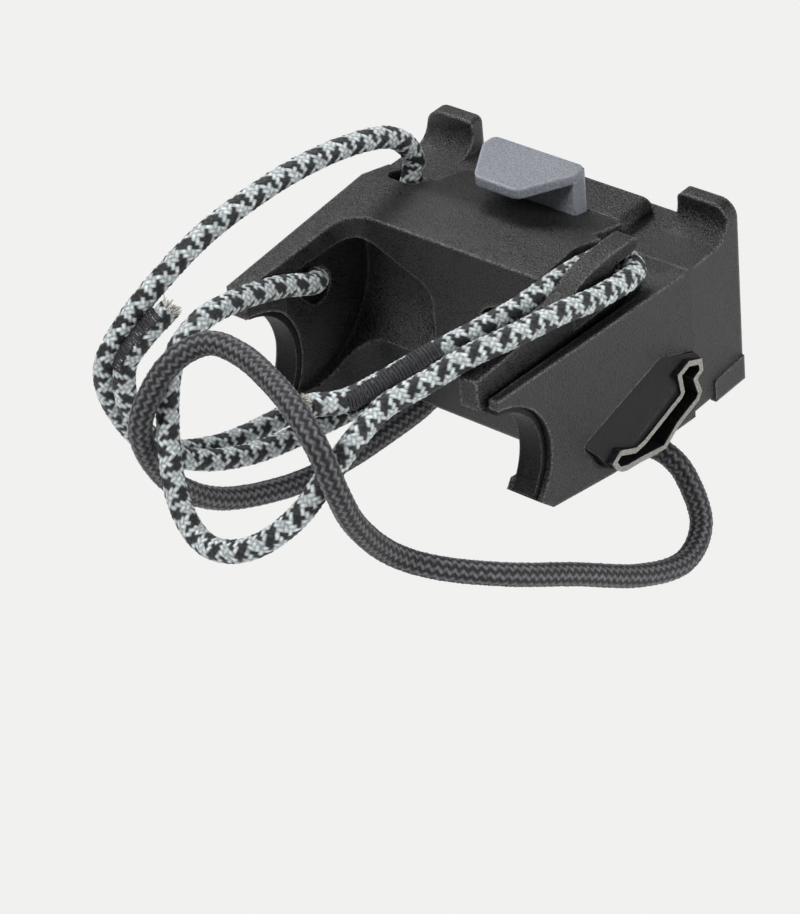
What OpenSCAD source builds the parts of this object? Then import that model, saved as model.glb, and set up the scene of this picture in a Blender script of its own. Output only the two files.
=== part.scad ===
// Bicycle handlebar mount: a moulded two-shell housing that rests on a handlebar beside the stem,
// is held by looped cords and carries a bag on two top hooks and a sprung bottom catch.
// Frame: origin on the handlebar's axis, +X along the bar, +Y away from the rider, +Z up.

/* [Handlebar] */
// Diameter of the handlebar at the clamp
bar_d = 31.8; // [31:0.1:35]
// Thickness of the rubber saddle pads
pad_t = 1.6; // [1.2:0.1:2.2]

/* [Housing] */
// Half width of the housing at the front
half_w_front = 41.5; // [41:0.5:45]
// Half width of the housing at its rear tips
half_w_rear = 37.2; // [36.6:0.2:39]
// Distance of the bag face from the bar axis
front_y = 81.3; // [80:0.1:84]
// Height of the underside
bottom_z = -18.2; // [-20:0.2:-17.8]
// Height of the side rims and hook rails
rim_z = 19.6; // [19:0.2:21]
// Height of the hood at its rear tips
hood_rear_z = 24.5; // [24:0.2:25.5]
// Height of the hood's crease
crease_z = 28.2; // [27.5:0.1:29]
// Distance of the crease from the bar axis
crease_y = 46.8; // [45:0.2:48]
// Half width of the hood
hood_half_w = 34.7; // [34:0.1:35]
// Wall of the mouldings
wall = 2.4; // [2:0.1:2.8]
// Plane where the front shell meets the rear shell
joint_y = 63.3; // [62.8:0.1:64]

/* [Stem recess] */
// Half width of the space for the stem
recess_half_w = 29.4; // [28:0.2:30]
// Far wall of the space for the stem
recess_y = 34.7; // [33:0.1:36]

/* [Hooks] */
// Width of a bag hook
hook_w = 13.2; // [12:0.2:14]
// Height of the bag hooks' tips
hook_z = 27.5; // [26:0.1:29]
// Thickness of a bag hook
hook_t = 3.5; // [3:0.1:4]
// Radius of the hook's seat
hook_seat_r = 5.2; // [4:0.1:6]

/* [Release button] */
// Width of the button's stem
button_w = 24.4; // [22:0.2:25]
// Thickness of the button's stem
button_t = 4.2; // [3.6:0.1:4.4]
// Height of the thumb plate's top
button_z = 34.7; // [34:0.1:36]
// Travel of the button
button_travel = 4.5; // [3:0.1:4.5]

/* [Cord tension] */
// Diameter of the tension screws
screw_d = 5; // [4:0.5:5]
// Distance of the tension screws from the middle
screw_x = 21; // [20:0.5:22]
// Height of the tension screws
screw_z = -6; // [-7:0.5:-5]
// Travel of a carriage towards the rider
carriage_back = 8; // [5:0.5:8]
// Travel of a carriage towards the bag
carriage_fore = 2; // [1:0.5:2]

/* [Cords] */
// Diameter of the reflective cord
cord_d = 5; // [4.5:0.1:5.4]
// Diameter of the black cord
safety_d = 5.2; // [4.5:0.1:5.4]

/* [Hidden] */
$fn = 48;

plastic = [0.13, 0.13, 0.14];
grey_plastic = [0.48, 0.5, 0.55];
rubber = [0.09, 0.09, 0.1];
steel = [0.68, 0.69, 0.71];

slip = 0.3;            // gap between pieces that move past each other
seam = 0.06;           // gap between the two shells
fit = 0.15;            // gap round a piece that is pushed into a pocket
thread_gap = 0.05;     // radial gap of a screw in its thread or bore
eps = 0.01;
far = 200;

bar_r = bar_d / 2;
saddle_r = bar_r + pad_t;
saddle_low = -42;      // lower end of the saddle, degrees below the forward direction
saddle_high = 79;

tip_y = 0.5;
hood_slope_front = 0.244;
facet_y = 56;
tongue_half_w = 21.6;
tongue_y = front_y - 14.4;
tongue_z = crease_z - hood_slope_front * (tongue_y - crease_y);
hood_side_right = 24;
rim_t = 2.3;
channel_floor = 12;
channel_y = 57;       // where the channel's floor has risen to the rim
channel_ramp_y = 36;
inner_wall_x = 33;

block_half_w = 21.6;
block_front = front_y - hook_t;
block_gap = slip;
block_r = 2.6;

slot_half_w = button_w / 2 + slip;
button_back = front_y - 18.9;
button_front = button_back + button_t;
catch_half_w = 8;
catch_low = -10;
catch_t = 4;
catch_tip = front_y + 4.7;

// Half width of the outer walls at a distance from the bar axis
function half_w(y) = half_w_rear + (half_w_front - half_w_rear) * min(1, max(0, y / joint_y));
// Height of the hood's surface at a distance from the bar axis
function hood_z(y) = y < crease_y
    ? hood_rear_z + (crease_z - hood_rear_z) * (y - tip_y) / (crease_y - tip_y)
    : crease_z - hood_slope_front * (y - crease_y);

// Extrudes a drawing of Y and Z along X
module along_x(x0, x1) {
    translate([x0, 0, 0]) rotate([90, 0, 90]) linear_extrude(x1 - x0) children();
}

// Extrudes a drawing of X and Z along Y
module along_y(y0, y1) {
    translate([0, y1, 0]) rotate([90, 0, 0]) linear_extrude(y1 - y0) children();
}

// A straight round rod along Y
module rod_y(r, y0, y1) {
    translate([0, y1, 0]) rotate([90, 0, 0]) cylinder(r = r, h = y1 - y0);
}

// A rectangle between two corners
module rect(x0, y0, x1, y1) {
    translate([x0, y0]) square([x1 - x0, y1 - y0]);
}

module mirrored() {
    children();
    mirror([1, 0, 0]) children();
}

// Rear shell: side outline of the cheeks, in Y and Z
module cheek_outline() {
    difference() {
        polygon([[tip_y, bar_r - 8], [tip_y, rim_z], [joint_y - seam, rim_z], [joint_y - seam, bottom_z],
            [57, bottom_z], [36, bottom_z + 0.7], [15, bottom_z + 3.4], [10, bottom_z + 5.5], [6, 0]]);
        circle(r = saddle_r, $fn = 96);
        polygon([[0, 0], [far * cos(saddle_low), far * sin(saddle_low)], [-far, -far], [-far, 0]]);
    }
}

// Rear shell: side outline of the hood, in Y and Z
module hood_outline(y1) {
    polygon([[tip_y, rim_z - 8], [tip_y, hood_rear_z], [crease_y, crease_z], [y1, hood_z(y1)], [y1, rim_z - 8]]);
}

// The outer walls' plan, narrower towards the rider
module plan(inset = 0, y0 = -30, y1 = 100) {
    polygon([[-half_w(y0) + inset, y0], [-half_w(0) + inset, 0], [-half_w(joint_y) + inset, joint_y],
        [-half_w(y1) + inset, y1], [half_w(y1) - inset, y1], [half_w(joint_y) - inset, joint_y],
        [half_w(0) - inset, 0], [half_w(y0) - inset, y0]]);
}

// Plan of the space for the stem
module recess_plan() {
    corner = 7;
    hull() {
        for (s = [-1, 1]) translate([s * (recess_half_w - 1 - corner), recess_y - corner]) circle(r = corner);
        translate([-recess_half_w - 1.4, -40]) square([2 * recess_half_w + 2.8, 1]);
    }
}

// Hollow under the hood's lip, in the side wall and the far wall: its outline in X and Z
module scoop_outline() {
    hull() {
        translate([-26.2, 17.4]) circle(r = 4.6);
        translate([-11.6, 10.6]) circle(r = 5);
        translate([-26.2, -8]) circle(r = 4.6);
        translate([-11.6, -8]) circle(r = 5);
    }
}

module scoop() {
    intersection() {
        along_y(recess_y - 22, recess_y + 8) scoop_outline();
        translate([0, recess_y - 15, 12]) rotate([0, 90, 0]) cylinder(r = 22.2, h = far, center = true, $fn = 96);
    }
}

// Side channel between the hood and the rim
module channel_plan() {
    polygon([[hood_half_w - 0.8, -10], [hood_half_w, channel_y], [half_w(channel_y) - rim_t - 0.5, channel_y],
        [half_w(0) - rim_t, 0], [half_w(0) - rim_t, -10]]);
}

// The same channel from the side: its floor rises towards the hooks
module channel_side() {
    polygon([[-30, channel_floor], [channel_ramp_y, channel_floor], [channel_y, rim_z], [channel_y, 60], [-30, 60]]);
}

// Cleat for a cord's loop: a curved fin that runs out to a tip over the loop
fin_x0 = 29.2;
fin_x1 = 34.2;
module cleat() {
    along_x(fin_x0, fin_x1) polygon([[28.4, rim_z - 1], [29.9, 23.3], [30.7, 24.7], [31.7, 26], [32.9, 27.2],
        [34.3, 28.2], [36.1, 29.1], [38, 29.7], [40.5, 30.1], [46, 30.5], [54, 30.3], [55.2, 29.9], [55.9, 29.2],
        [56, 28.4], [55.4, 27.6], [54.4, 27.2], [47.6, 27.2], [47.3, rim_z - 1]]);
}

// Lower hook that takes the other loop, under the left side: a post with a lip that points away from the rider
lower_hook_x = -31;
lower_hook_w = 3;
module lower_hook() {
    lip = bottom_z - 6.5;
    along_x(lower_hook_x - lower_hook_w / 2, lower_hook_x + lower_hook_w / 2)
        polygon([[39, bottom_z + 2], [37.4, lip - 1], [38.4, lip - 2.4], [52, lip - 1.6], [54, lip - 0.6],
            [54, lip + 0.4], [53.6, lip + 1], [53, lip + 0.4], [46, lip], [46, bottom_z + 2]]);
}

// Bosses of the shell screws
boss_spots = [[-31, 8], [31, 8], [-32, -12], [32, -12]];
boss_r = 3;
shell_screw_r = 1.5;

module rear_body() {
    difference() {
        union() {
            intersection() {
                along_x(-half_w_front, half_w_front) cheek_outline();
                translate([0, 0, -far / 2]) linear_extrude(far) plan();
            }
            intersection() {
                along_x(-hood_half_w, hood_half_w) hood_outline(facet_y);
                translate([0, 0, -far / 2]) linear_extrude(far)
                    rect(-hood_half_w, tip_y, hood_half_w, facet_y);
            }
            intersection() {
                along_x(-tongue_half_w, tongue_half_w) hood_outline(tongue_y);
                along_y(facet_y - 1, tongue_y) rect(-far, rim_z - 8, far, far);
            }
        }
        along_x(-far, far) circle(r = saddle_r, $fn = 96);
        // space for the stem
        translate([0, 0, -far / 2]) linear_extrude(far) recess_plan();
        mirrored() scoop();
        // side channels
        mirrored() intersection() {
            linear_extrude(far) channel_plan();
            along_x(0, half_w_front) channel_side();
        }
        // bay round the cleat
        translate([0, 0, rim_z]) linear_extrude(far) {
            rect(hood_side_right, recess_y - 2, hood_half_w + 1, joint_y);
            rect(hood_side_right, recess_y - 11, recess_half_w, recess_y);
        }
        // inner hollow, open to the front shell
        difference() {
            union() {
                along_x(-inner_wall_x + wall, inner_wall_x - wall)
                    polygon([[recess_y + 10, bottom_z + wall], [recess_y + 10, rim_z - wall - 2.4],
                        [far, rim_z - wall - 2.4], [far, bottom_z + wall]]);
                along_x(-tongue_half_w + wall, tongue_half_w - wall)
                    polygon([[recess_y + 10, 0], [recess_y + 10, crease_z - wall - 0.6],
                        [crease_y, crease_z - wall], [tongue_y + 1, tongue_z - wall], [tongue_y + 1, 0]]);
            }
            for (p = boss_spots) translate([p[0], 0, p[1]]) rod_y(boss_r, 0, joint_y - seam);
        }
        // slot for the button
        translate([0, 0, -far / 2]) linear_extrude(far)
            rect(-slot_half_w, button_back - slip, slot_half_w, tongue_y + 1);
        // bores of the shell screws
        for (p = boss_spots) translate([p[0], 0, p[1]]) rod_y(shell_screw_r - 0.1, joint_y - 12, joint_y);
        // hole for the upper run of the reflective cord
        hull() for (x = [-28.4, -25.6], y = [52.4, 54]) translate([x, y, rim_z - 7]) cylinder(r = 2.8, h = 20);
        // opening for the lower run of the reflective cord, in the left wall of the stem's space
        along_x(-inner_wall_x + 0.6, -recess_half_w + 4) hull() {
            translate([20.5, 17.5]) circle(r = 4);
            translate([25, 12]) circle(r = 4);
        }
        // outlets of the safety cord, in the floor
        for (p = [[24, 56], [-17.6, 49]])
            translate([p[0], p[1], bottom_z - 1]) cylinder(r = safety_d / 2 + 0.4, h = wall + 2);
        // rear ends of the rims, cut back from the bar
        mirrored() translate([hood_half_w - 0.6, -far, channel_floor]) cube([far, far + 2.6, far]);
        // pockets of the cable guides
        mirrored() guide_pocket();
    }
}

module rear_shell() {
    color(plastic) {
        rear_body();
        cleat();
        lower_hook();
        carriage_guides();
    }
}

// Cable guides: soft sleeves in the cheeks, drawn in Y and Z
guide_outer_x = half_w_front + 1;
guide_root_x = half_w_rear - 1.8;
lip_out = 0.7;
lip_w = 1.3;
module guide_outline() {
    offset(r = 0.8) offset(delta = -0.8)
        polygon([[53, 3], [58.3, 0.7], [63.2, -1], [65.4, -4.2], [64.9, -7], [62.4, -7.4], [63.9, -11],
            [63.1, -12.7], [54.8, -15.4], [50.2, -18], [41, -16.6], [35, -15.3], [31.8, -12.6],
            [30, -9.2], [27, -5.6]]);
}

module guide_slot() {
    polygon([[63, -3.6], [59.6, -2.2], [56.8, -3], [57.6, -7.6], [56.6, -8.6], [42.8, -12.7], [39.4, -12.9],
        [34.4, -10.6], [33, -11.4], [34, -13.2], [36.5, -14.2], [41, -14.9], [49.4, -16.8], [54.2, -13.9],
        [61.7, -11.6], [62.3, -10.8], [60.8, -6.2], [63.2, -5.2]]);
}

// Sloping upper face of a guide, between the cheek and the lip
module guide_slope(gap = 0) {
    translate([0, 45, -9.4]) rotate([20, 0, 0]) along_y(-40, 40)
        polygon([[guide_root_x - 20, -30], [guide_outer_x + gap, -30], [guide_outer_x + gap, 0.6],
            [half_w_front - 3.8 + gap, 12.5], [half_w_front - 3.8 + gap, 20], [guide_root_x - 20, 20]]);
}

module cable_guide() {
    color(rubber) difference() {
        union() {
            intersection() {
                along_x(guide_root_x, guide_outer_x) guide_outline();
                guide_slope();
            }
            // raised lip round the opening
            along_x(half_w_rear, guide_outer_x + lip_out) intersection() {
                guide_outline();
                offset(delta = lip_w) guide_slot();
            }
        }
        along_x(guide_root_x + 1.2, far) guide_slot();
    }
}

module guide_pocket() {
    along_x(guide_root_x - fit, far) offset(delta = fit) guide_outline();
}

module cable_guide_right() cable_guide();
module cable_guide_left() mirror([1, 0, 0]) cable_guide();

// Front shell: side outline of a hook with its concave seat, in Y and Z
module hook_outline() {
    back = front_y - hook_t;
    difference() {
        union() {
            rect(joint_y, rim_z - wall, front_y, rim_z);
            rect(back - hook_seat_r, rim_z - wall, front_y, hook_z);
        }
        translate([back - hook_seat_r, rim_z + hook_seat_r]) circle(r = hook_seat_r);
        rect(back - hook_seat_r - 1, rim_z + hook_seat_r, back, hook_z + 1);
        rect(joint_y, rim_z, back - hook_seat_r, hook_z + 1);
    }
}

// Front view of a hook's tip, in X and Z, with its round corners
module hook_front() {
    x0 = half_w_front - hook_w;
    outer_r = 4;
    inner_r = 1.5;
    hull() {
        translate([half_w_front - outer_r, hook_z - outer_r]) circle(r = outer_r);
        translate([x0 + inner_r, hook_z - inner_r]) circle(r = inner_r);
        rect(x0, bottom_z, half_w_front, bottom_z + 1);
    }
}

module hook() {
    intersection() {
        along_x(0, half_w_front) hook_outline();
        along_y(joint_y, front_y) hook_front();
    }
}

// Raised block behind the bag face, with round ends
module block() {
    along_y(tongue_y + block_gap, block_front) hull() {
        for (s = [-1, 1]) translate([s * (block_half_w - block_r), tongue_z - block_r]) circle(r = block_r);
        rect(-block_half_w, rim_z - wall, block_half_w, rim_z - wall + 1);
    }
    along_y(block_front - 1, block_front + 1) rect(-block_half_w, rim_z - wall, block_half_w, rim_z);
}

lug_out = 0.5;
lug_y = front_y - 11;
lug_z = bottom_z + 5.6;
// Foot at a lower front corner, a little proud of the cheek
module lug() {
    along_x(half_w_front - 1, half_w_front + lug_out)
        polygon([[lug_y, bottom_z], [lug_y, lug_z - 0.6], [lug_y + 0.8, lug_z], [front_y, lug_z + 0.6],
            [front_y, bottom_z]]);
}

face_half_w = half_w_front;
face_in = front_y - hook_t;
bolt_head_r = screw_d * 0.85;

module front_body() {
    difference() {
        union() {
            // box of the walls, open to the rear
            difference() {
                along_y(joint_y, front_y) polygon([[-half_w_front, bottom_z + 1.5], [-half_w_front + 1.5, bottom_z],
                    [half_w_front - 1.5, bottom_z], [half_w_front, bottom_z + 1.5], [half_w_front, rim_z],
                    [-half_w_front, rim_z]]);
                along_y(0, face_in) rect(-half_w_front + wall, bottom_z + wall, half_w_front - wall, rim_z - wall);
                // notch for the tongue of the rear shell and the button
                translate([0, 0, rim_z - wall - 1]) linear_extrude(far)
                    rect(-tongue_half_w - slip, 0, tongue_half_w + slip, tongue_y + block_gap);
            }
            mirrored() hook();
            mirrored() lug();
            difference() {
                block();
                along_y(0, block_front - 1.4)
                    rect(-block_half_w + wall, 0, block_half_w - wall, tongue_z - wall);
            }
            for (p = boss_spots) translate([p[0], 0, p[1]]) rod_y(boss_r, joint_y, front_y - 1);
            for (s = [-1, 1]) translate([s * screw_x, 0, screw_z]) rod_y(bolt_head_r + 2, front_y - 9, front_y);
            // spring seat
            translate([0, button_back + button_t / 2, bottom_z + wall - eps]) cylinder(r = spring_r - 1.1, h = 2.2);
        }
        // shallow panel between the hooks, where the bag's plate lies
        along_y(front_y - 0.8, far) difference() {
            offset(r = 2) offset(delta = -2) rect(-27, -15.2, 27, 16);
            for (s = [-1, 1]) translate([s * screw_x, screw_z]) circle(r = bolt_head_r + 2);
        }
        // slot of the catch
        along_y(0, far) rect(-catch_half_w - slip, catch_low - button_travel - 0.5,
            catch_half_w + slip, catch_low + catch_t + 5.6);
        // seats and bores of the tension screws
        for (s = [-1, 1]) translate([s * screw_x, 0, screw_z]) {
            rod_y(screw_d / 2 + 0.03, 0, far);
            rod_y(bolt_head_r + 0.3, front_y - screw_d - 0.1, far);
        }
        mirrored() guide_pocket();
        // counterbores and bores of the shell screws
        for (p = boss_spots) translate([p[0], 0, p[1]]) {
            rod_y(shell_screw_r + 0.15, 0, far);
            rod_y(shell_screw_r * 1.9 + 0.15, front_y - 2.4, far);
        }
    }
}

module front_shell() color(plastic) front_body();

// Release button: thumb plate, stem, and the arm with its upturned lip
thumb_t = 2.4;
thumb_back = button_front - 15.6;
module thumb_plan() {
    hull() {
        for (s = [-1, 1]) {
            translate([s * (button_w / 2 + 0.3 - 1.6), button_front - 1.6]) circle(r = 1.6);
            translate([s * (button_w / 2 + 0.3 - 1.6), button_front - 3.6]) circle(r = 1.6);
            translate([s * 4.4, thumb_back + 2.4]) circle(r = 2.4);
        }
    }
}

spring_r = 2.5;
wire_d = 0.7;
spring_turns = 7;
spring_seat_z = bottom_z + wall;
spring_top_z = 0;
shoulder_z = 20.8;

module release_button() {
    stem_low = catch_low;
    color(grey_plastic) {
        translate([0, 0, button_z - thumb_t]) linear_extrude(thumb_t) thumb_plan();
        difference() {
            union() {
                along_y(button_back, button_front) rect(-button_w / 2, stem_low, button_w / 2, button_z - 0.5);
                along_y(button_back, button_front) rect(-button_w / 2 - 1.6, 6, button_w / 2 + 1.6, shoulder_z);
            }
            translate([0, 0, stem_low - 1]) linear_extrude(spring_top_z - stem_low + 1)
                rect(-spring_r - 0.9, 0, spring_r + 0.9, far);
        }
        // arm and lip
        difference() {
            union() {
                along_x(-catch_half_w, catch_half_w) polygon([[button_back, catch_low], [catch_tip, catch_low],
                    [catch_tip, catch_low + catch_t + 4], [catch_tip - 0.8, catch_low + catch_t + 5],
                    [catch_tip - 2.4, catch_low + catch_t + 4], [catch_tip - 2.4, catch_low + catch_t],
                    [button_back, catch_low + catch_t]]);
            }
            translate([0, 0, catch_low - 1]) linear_extrude(catch_t + 2)
                rect(-spring_r - 0.9, button_back - 1, spring_r + 0.9, button_front + 1.4);
        }
    }
}

// Coil spring under the button's stem
function spring_point(a) = [spring_r * cos(a), spring_r * sin(a),
    wire_d / 2 + (spring_top_z - spring_seat_z - wire_d) * a / (360 * spring_turns)];

// Sweeps a round tube along points: the ring's frame follows the path
function unit(v) = v / norm(v);
function tangent(p, i) = unit(p[min(i + 1, len(p) - 1)] - p[max(i - 1, 0)]);
function side(t, s) = unit(s - t * (t * s));
function sides(p, i = 0, s = [0.3, 0.2, 1], out = []) = i == len(p) ? out
    : let (n = side(tangent(p, i), s)) sides(p, i + 1, n, concat(out, [n]));
function rings(p, r, n) = let (s = sides(p)) [for (i = [0:len(p) - 1]) let (t = tangent(p, i), b = cross(t, s[i]))
    for (k = [0:n - 1]) p[i] + r * (cos(360 * k / n) * s[i] + sin(360 * k / n) * b)];

module tube(p, r, n) {
    m = len(p);
    polyhedron(rings(p, r, n), concat(
        [[for (k = [n - 1:-1:0]) k]],
        [for (i = [0:m - 2], k = [0:n - 1]) [i * n + k, i * n + (k + 1) % n, (i + 1) * n + (k + 1) % n]],
        [for (i = [0:m - 2], k = [0:n - 1]) [i * n + k, (i + 1) * n + (k + 1) % n, (i + 1) * n + k]],
        [[for (k = [0:n - 1]) (m - 1) * n + k]]));
}

module button_spring() {
    steps = 12;
    color(steel) translate([0, button_back + button_t / 2, spring_seat_z])
        tube([for (i = [0:steps * spring_turns]) spring_point(360 * i / steps)], wire_d / 2, 6);
}

// Tension screws with hexagon sockets
clip_y = front_y - 9.9;
clip_t = 0.8;
screw_end = 46.5;
module tension_screw(s) {
    color(steel) translate([s * screw_x, 0, screw_z]) difference() {
        union() {
            rod_y(screw_d / 2 - thread_gap, screw_end, front_y - screw_d + eps);
            rod_y(bolt_head_r, front_y - screw_d, front_y - 0.4);
        }
        rod_y(screw_d * 0.46, front_y - screw_d * 0.55 - 0.4, far, $fn = 6);
        // groove of the clip
        difference() {
            rod_y(screw_d, clip_y, clip_y + clip_t);
            rod_y(screw_d / 2 - 0.5, clip_y - 1, clip_y + clip_t + 1);
        }
    }
}
module tension_screw_left() tension_screw(-1);
module tension_screw_right() tension_screw(1);

module screw_clip(s) {
    color(steel) translate([s * screw_x, 0, screw_z]) difference() {
        rod_y(screw_d / 2 + 1.7, clip_y + thread_gap, clip_y + clip_t - thread_gap);
        rod_y(screw_d / 2 - 0.5 + thread_gap, 0, far);
        along_y(0, far) rect(-1.6, -far, 1.6, 0);
    }
}
module screw_clip_left() screw_clip(-1);
module screw_clip_right() screw_clip(1);

// Cord carriages, drawn forward by the screws, each with a square nut
carriage_w = 13;
carriage_y0 = 54;
carriage_y1 = 64;
carriage_h = 11;
nut_w = 8;
nut_t = 4;
nut_y = 57;
module carriage(s) {
    color(plastic) translate([s * screw_x, 0, screw_z]) difference() {
        along_y(carriage_y0, carriage_y1) offset(r = 1) offset(delta = -1)
            rect(-carriage_w / 2, -carriage_h / 2, carriage_w / 2, carriage_h / 2);
        rod_y(screw_d / 2 + 0.4, 0, far);
        // pocket of the nut, open on top
        along_y(nut_y - fit, nut_y + nut_t + fit) rect(-nut_w / 2 - fit, -nut_w / 2 - fit, nut_w / 2 + fit, far);
        // saddle groove of the cord, round the rear
        for (z = [-1, 1]) translate([0, carriage_y0, z * carriage_h / 2]) rotate([0, 90, 0])
            cylinder(r = 1.6, h = far, center = true);
    }
}
module cord_carriage_left() carriage(-1);
module cord_carriage_right() carriage(1);

module nut(s) {
    color(steel) translate([s * screw_x, 0, screw_z]) difference() {
        along_y(nut_y, nut_y + nut_t) rect(-nut_w / 2, -nut_w / 2, nut_w / 2, nut_w / 2);
        rod_y(screw_d / 2, 0, far);
    }
}
module carriage_nut_left() nut(-1);
module carriage_nut_right() nut(1);

// Rails on the rear shell's floor that the carriages run between
module carriage_guides() {
    for (s = [-1, 1], e = [-1, 1])
        translate([s * screw_x + e * (carriage_w / 2 + slip + 0.7), 0, 0])
            along_y(recess_y + 9, joint_y - seam) rect(-0.7, bottom_z + wall - eps, 0.7, screw_z - 1);
}

// Saddle pads, drawn in Y and Z
module pad_outline() {
    difference() {
        circle(r = saddle_r, $fn = 96);
        circle(r = bar_r, $fn = 96);
        polygon([[0, 0], [far * cos(saddle_low + 1), far * sin(saddle_low + 1)], [-far, -far], [-far, far],
            [far * cos(saddle_high), far * sin(saddle_high)]]);
    }
}
module bar_pad() color(rubber) along_x(recess_half_w + 1.6, half_w_rear - 0.4) pad_outline();
module bar_pad_right() bar_pad();
module bar_pad_left() mirror([1, 0, 0]) bar_pad();

// Cords: a tube along each cord's points, laid as they lie on a bar and stem
reflective_upper_points = [[-27, 52, 13], [-27, 53, 22], [-27.2, 56, 30], [-28, 51, 37.3], [-29.5, 40, 41],
    [-31.5, 26, 42.3], [-33.5, 12, 41.4], [-37, -1, 37.5], [-41.5, -11, 30.2], [-46, -18, 22],
    [-49.5, -23.5, 12], [-49.5, -22, 0], [-47, -14.5, -13.5], [-43, 1, -20.5], [-38.5, 22, -21.5],
    [-36, 41, -21.5], [-35.8, 45.2, -21.5], [-34.4, 48.6, -21.5], [-31, 50, -21.5], [-27.6, 48.6, -21.5], [-26.2, 45.2, -21.5], [-26, 41, -21.5],
    [-29.5, 22, -21.5], [-35.5, 1, -20.5], [-41, -14.5, -13.5], [-44.5, -22, 0], [-44.6, -22.3, 12.5],
    [-41.5, -18.7, 19.5], [-38, -13, 25]];
reflective_lower_points = [[11.5, -25.4, 25.8], [15.5, -17, 24.2], [20.8, 0, 25.9], [24, 13, 26.3],
    [26, 25.5, 26.1], [26.6, 38, 26.2], [26.6, 47.6, 25], [28, 52.3, 24.3], [31.8, 54.4, 24.1], [35.6, 52.3, 23.8],
    [37.2, 47, 24.6], [37.3, 36, 26.2], [36.4, 26, 28.1], [33.7, 13.5, 28.5], [29.8, 3.5, 27.7],
    [25.3, -5.5, 24.7], [21.2, -14, 22.2], [20.6, -23.5, 19], [19.8, -31.5, 14.5], [17, -38, 8],
    [11.5, -43.5, 2.5], [4, -46, -1], [-5, -45, -2], [-14, -41, 2.5], [-22, -33.5, 11.5], [-25.6, -26.5, 22.5],
    [-25.3, -18, 28.3], [-26, -6, 27], [-26.3, 8, 22.8], [-26, 18.2, 18.2], [-30, 24.5, 15]];
safety_points = [[24, 56, -14], [24.2, 56.2, -20], [28, 57.5, -25], [36, 59.6, -28.2], [41, 60, -33.5],
    [46, 57.5, -42], [48.8, 47, -44.5], [48, 32, -39], [44.5, 14, -28.5], [39.5, -1, -21], [31, -12.5, -15.5],
    [24.7, -20, -9.5], [24.4, -29, 3], [25, -34, 14.5], [22, -34.8, 24.6], [14, -31.8, 29.3], [4, -27.6, 30.4],
    [-7, -24.3, 31], [-16, -25.2, 31], [-22, -32, 26], [-25.4, -38, 13.5], [-26.5, -31.5, -3.5], [-25.5, -19, -16],
    [-22.5, -2, -22.5], [-19.5, 13, -24], [-18, 29, -24], [-17.6, 42, -23.5], [-17.6, 48.3, -19.8], [-17.6, 49.2, -14]];
module reflective_cord_upper() color([0.5, 0.52, 0.54]) tube(reflective_upper_points, cord_d / 2, 8);
module reflective_cord_lower() color([0.5, 0.52, 0.54]) tube(reflective_lower_points, cord_d / 2, 8);
module safety_cord() color([0.1, 0.1, 0.1]) tube(safety_points, safety_d / 2, 8);

// Screws that hold the shells together
module shell_screw(i) {
    color(steel) translate([boss_spots[i][0], 0, boss_spots[i][1]]) difference() {
        union() {
            rod_y(shell_screw_r - 0.12, joint_y - 11, front_y - 2.4 + eps);
            rod_y(shell_screw_r * 1.9, front_y - 2.4, front_y - 0.3);
        }
        rod_y(1.2, front_y - 1.5, far, $fn = 6);
    }
}
module shell_screw_1() shell_screw(0);
module shell_screw_2() shell_screw(1);
module shell_screw_3() shell_screw(2);
module shell_screw_4() shell_screw(3);

rear_shell();
front_shell();
release_button();
button_spring();
tension_screw_left();
tension_screw_right();
screw_clip_left();
screw_clip_right();
cord_carriage_left();
cord_carriage_right();
carriage_nut_left();
carriage_nut_right();
cable_guide_left();
cable_guide_right();
bar_pad_left();
bar_pad_right();
shell_screw_1();
shell_screw_2();
shell_screw_3();
shell_screw_4();
reflective_cord_upper();
reflective_cord_lower();
safety_cord();
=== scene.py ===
# Looks of the handlebar mount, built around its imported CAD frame
import math

import bmesh
import bpy
import numpy as np
from mathutils import Matrix, Vector


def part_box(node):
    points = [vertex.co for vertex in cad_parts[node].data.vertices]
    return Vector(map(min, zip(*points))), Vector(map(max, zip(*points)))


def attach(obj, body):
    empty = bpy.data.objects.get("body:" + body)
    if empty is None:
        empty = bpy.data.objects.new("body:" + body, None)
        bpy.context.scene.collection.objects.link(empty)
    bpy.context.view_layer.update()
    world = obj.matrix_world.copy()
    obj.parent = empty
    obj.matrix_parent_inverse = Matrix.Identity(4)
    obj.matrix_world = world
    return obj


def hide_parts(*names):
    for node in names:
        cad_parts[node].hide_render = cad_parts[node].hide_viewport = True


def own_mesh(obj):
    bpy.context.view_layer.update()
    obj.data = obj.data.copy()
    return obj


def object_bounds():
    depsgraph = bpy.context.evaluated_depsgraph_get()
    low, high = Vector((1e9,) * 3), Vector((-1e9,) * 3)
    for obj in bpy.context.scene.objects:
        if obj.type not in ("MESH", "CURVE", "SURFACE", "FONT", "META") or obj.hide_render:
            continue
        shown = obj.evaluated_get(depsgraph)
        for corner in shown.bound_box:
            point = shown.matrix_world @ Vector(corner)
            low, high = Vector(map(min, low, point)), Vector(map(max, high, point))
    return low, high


MM = 0.001
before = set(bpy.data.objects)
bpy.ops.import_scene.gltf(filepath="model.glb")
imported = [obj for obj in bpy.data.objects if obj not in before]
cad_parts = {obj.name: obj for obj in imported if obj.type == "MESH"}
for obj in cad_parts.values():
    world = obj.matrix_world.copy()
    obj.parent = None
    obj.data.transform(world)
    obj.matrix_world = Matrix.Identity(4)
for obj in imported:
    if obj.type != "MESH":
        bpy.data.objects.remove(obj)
size_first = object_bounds()
scene = bpy.context.scene
rng = np.random.default_rng(11)

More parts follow.
